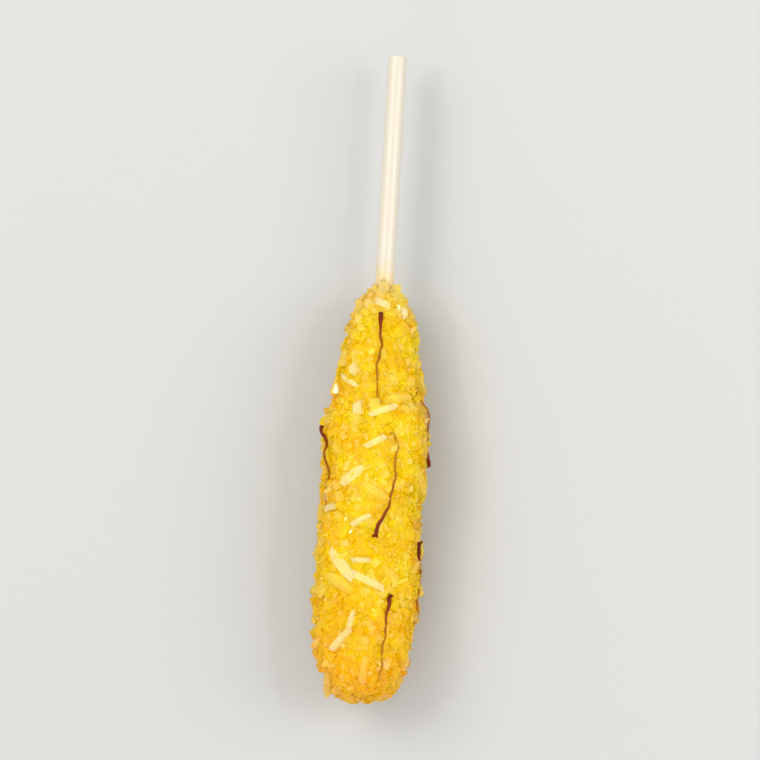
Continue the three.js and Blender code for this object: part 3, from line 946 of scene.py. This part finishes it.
stick = plain_object("candy_stick", stick_mesh())
stick.data.materials.append(IVORY_PLASTIC)
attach(stick, "root")
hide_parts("stick")
print("stick:", count_triangles(stick.data), "triangles")

# %% [markdown]
# ## Saffron threads
# Each thread is the dried stigma of a saffron flower: thin and orange at one end, dark red and
# flared like a trumpet at the other. It lies over the crystals. A Shrinkwrap modifier would press
# it into every gap between them. So rays find the surface below the route instead, and the thread
# rests on the peaks and sags only a little in between.

# %% Routes of the threads
THREADS = [  # (distance from the neck, degrees from the top) from the thin to the flared end
    [(27.2, 13), (23.2, 6.5), (19.2, 5.5), (13.3, 9), (6.1, 4)],
    [(34.0, 25), (34.6, 32), (39.4, 33), (48.6, 28), (58.1, 13)],
    [(91.0, 35), (84.3, 31.5), (74.6, 34), (71.1, 38)],
    [(52.0, -52), (46.0, -60), (38.5, -57), (33.0, -66)],
    [(22.0, 84), (28.5, 92), (36.0, 88), (41.0, 78)],
    [(80.0, 96), (73.0, 88), (65.0, 95), (58.5, 92)],
    [(24.0, -118), (31.0, -110), (39.0, -116), (44.0, -124)],
    [(83.0, -104), (77.0, -112), (69.0, -108), (63.0, -98)],
    [(50.0, 134), (57.5, 127), (65.0, 133), (70.0, 142)],
]
THREAD_STATIONS = 32
THREAD_LIFT = 0.1                          # how far its middle lies above the peaks
THREAD_SUNK = 0.35                         # how deep the thin end lies in the sugar
THREAD_WAVES = [(0.22, 7.5), (0.12, 3.4)]  # how far it swings aside in drying, over what length
OUTSIDE = 20                               # mm from the axis, clear of the sugar
SUGAR_RADIUS = 12                          # mm, which turns a swing aside into an angle
print(len(THREADS), "threads of", THREAD_STATIONS, "points")

# %% Laying the threads
sugar_skin = BVHTree.FromPolygons([v.co for v in crystals.data.vertices],
                                  [p.vertices for p in crystals.data.polygons])


def thread_path(route):
    """The route laid on the crystals, in metres; the sugar has grown over its thin end. Its waves
    begin elsewhere for each thread, so that no two of them swing alike."""
    stops = []
    for i in range(THREAD_STATIONS):
        along, degrees = smooth_curve(route, i / (THREAD_STATIONS - 1))
        aside = sum(swing * math.sin(2 * math.pi * along / length + route[0][0])
                    for swing, length in THREAD_WAVES)
        turn = math.radians(degrees) + aside / SUGAR_RADIUS
        far, axis = place(along, turn, OUTSIDE), place(along, turn, 0)
        hit = sugar_skin.ray_cast(MM * far, (axis - far).normalized())[0]
        stops.append([along, turn, (hit / MM - axis).length])
    radii = [stop[2] for stop in stops]

    def near(values, i, reach):
        return values[max(i - reach, 0):i + reach + 1]

    peaks = [max(near(radii, i, 1)) for i in range(len(radii))]
    for i, stop in enumerate(stops):
        around = near(peaks, i, 2)
        sunk = THREAD_SUNK * (1 - i / (THREAD_STATIONS - 1)) ** 2
        stop[2] = sum(around) / len(around) + THREAD_LIFT - sunk
    return [MM * place(*stop) for stop in stops]


def route_object(name, paths):
    """All the paths as one curve object with a spline for each."""
    curve = bpy.data.curves.new(name, "CURVE")
    curve.dimensions = "3D"
    for path in paths:
        spline = curve.splines.new("POLY")
        spline.points.add(len(path) - 1)
        for point, spot in zip(spline.points, path):
            point.co = (*spot, 1)
    return plain_object(name, curve)


paths = [thread_path(route) for route in THREADS]
routes = route_object("thread_routes", paths)
lengths = [sum((end - start).length for start, end in zip(path, path[1:])) for path in paths]
print(f"threads {min(lengths) / MM:.0f} to {max(lengths) / MM:.0f} mm long")

# %% Saffron
FIBRE_WIDTH = 0.25 * MM  # finer on a real stigma, drawn so wide to show


def saffron():
    """Dried stigmas: dull and fibrous, from ochre where they were thin and pale to a dark red head."""
    material, tree, here = new_material("dried saffron stigma")
    along = add_node(tree, "ShaderNodeAttribute", attribute_name="along")
    ramp = add_node(tree, "ShaderNodeValToRGB", {"Fac": (along, "Fac")})
    ramp.color_ramp.elements[0].color = linear("#b07818")
    ramp.color_ramp.elements[1].color = linear("#6a1c06")
    for position, colour in ((0.5, "#965a14"), (0.8, "#7c3008")):
        ramp.color_ramp.elements.new(position).color = linear(colour)
    fibre = add_node(tree, "ShaderNodeTexNoise", {"Vector": here, "Scale": 1 / FIBRE_WIDTH, "Detail": 2.0})
    bump = add_node(tree, "ShaderNodeBump",
                    {"Height": (fibre, "Fac"), "Strength": 0.6, "Distance": 0.1 * MM})
    shader = add_node(tree, "ShaderNodeBsdfPrincipled",
                      {"Base Color": (ramp, "Color"), "Roughness": 0.6, "Specular IOR Level": 0.15,
                       "Normal": (bump, "Normal")})
    add_node(tree, "ShaderNodeOutputMaterial", {"Surface": (shader, "BSDF")})
    return material


SAFFRON = saffron()
print("material:", SAFFRON.name)

# %% [markdown]
# A tree turns the routes into threads: a tube whose radius grows slowly along the way and flares at
# the end, uneven from drying, with the rim of the flare frayed. Each point keeps how far along it
# lies, because the saffron's colour follows that.

# %% Threads
THREAD_SLIM = 0.75    # radius of the thin end, as a share of the thickness
FLARE_POWER = 8.0     # the higher, the later the flare begins
FLARE_RIM = 0.98      # the share of the way where the rim begins
UNEVEN = (0.75, 1.2)  # thinnest and thickest, as a share


def thread_radius(tree, given, share):
    """The nodes that work out the radius at a share of the way; the last of them."""
    late = add_node(tree, "ShaderNodeMath", {0: (share, "Factor"), 1: FLARE_POWER}, operation="POWER")
    slim = add_node(tree, "ShaderNodeMath", {0: (share, "Factor"), 1: 1 - THREAD_SLIM, 2: THREAD_SLIM},
                    operation="MULTIPLY_ADD")
    wide = add_node(tree, "ShaderNodeMath", {0: (late, "Value"), 1: (given, "Flare"), 2: (slim, "Value")},
                    operation="MULTIPLY_ADD")
    spot = add_node(tree, "GeometryNodeInputPosition")
    often = add_node(tree, "ShaderNodeMath", {0: 1.0, 1: (given, "Pinch spacing")}, operation="DIVIDE")
    uneven = add_node(tree, "ShaderNodeTexNoise", {"Vector": (spot, "Position"), "Scale": (often, "Value")})
    pinch = add_node(tree, "ShaderNodeMapRange",
                     {"Value": (uneven, "Fac"), "From Min": 0.3, "From Max": 0.7,
                      "To Min": UNEVEN[0], "To Max": UNEVEN[1]})
    even = add_node(tree, "ShaderNodeMath", {0: (wide, "Value"), 1: (given, "Thickness")},
                    operation="MULTIPLY")
    return add_node(tree, "ShaderNodeMath", {0: (even, "Value"), 1: (pinch, "Result")},
                    operation="MULTIPLY")


def thread_tree():
    """The tree that makes a thread of each route."""
    tree, given = new_tree("saffron thread", "Routes", [
        ("Thickness", "Float", 0.3 * MM), ("Flare", "Float", 1.2), ("Fraying", "Float", 0.3 * MM),
        ("Pinch spacing", "Float", 1.5 * MM), ("Sides", "Int", 10), ("Saffron", "Material", None),
    ])
    share = add_node(tree, "GeometryNodeSplineParameter")
    kept = add_node(tree, "GeometryNodeStoreNamedAttribute",
                    {"Geometry": (given, "Routes"), "Name": "along", "Value": (share, "Factor")},
                    data_type="FLOAT", domain="POINT")
    radius = thread_radius(tree, given, share)
    circle = add_node(tree, "GeometryNodeCurvePrimitiveCircle",
                      {"Resolution": (given, "Sides"), "Radius": 1.0})
    tube = add_node(tree, "GeometryNodeCurveToMesh",
                    {"Curve": (kept, "Geometry"), "Profile Curve": (circle, "Curve"),
                     "Scale": (radius, "Value"), "Fill Caps": True})
    stored = add_node(tree, "GeometryNodeInputNamedAttribute", {"Name": "along"}, data_type="FLOAT")
    at_rim = add_node(tree, "FunctionNodeCompare", {"A": (stored, "Attribute"), "B": FLARE_RIM},
                      operation="GREATER_THAN")
    fringe = add_node(tree, "FunctionNodeRandomValue", {0: (-1, -1, -1), 1: (1, 1, 1)},
                      data_type="FLOAT_VECTOR")
    pull = add_node(tree, "ShaderNodeVectorMath", {0: (fringe, "Value"), "Scale": (given, "Fraying")},
                    operation="SCALE")
    frayed = add_node(tree, "GeometryNodeSetPosition",
                      {"Geometry": (tube, "Mesh"), "Selection": (at_rim, "Result"),
                       "Offset": (pull, "Vector")})
    return end_tree(tree, (frayed, "Geometry"), (given, "Saffron"))


threads = grown("saffron_threads", routes, thread_tree(), {"Saffron": SAFFRON})
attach(threads, "root")
print("threads:", count_triangles(threads.data), "triangles, sizes (mm)",
      [round(size / MM, 1) for size in threads.dimensions])

# %% [markdown]
# ## Finish
# The table is scenery, not part of the object. The dressed sizes are written beside the packed
# model's, to show that the dressing hasn't changed them.

# %% Finish
table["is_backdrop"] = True
visual_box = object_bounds()
for label, box in (("packed", cad_box), ("dressed", visual_box)):
    print(label, "size (mm)", [round((box[1][i] - box[0][i]) / MM, 1) for i in range(3)])
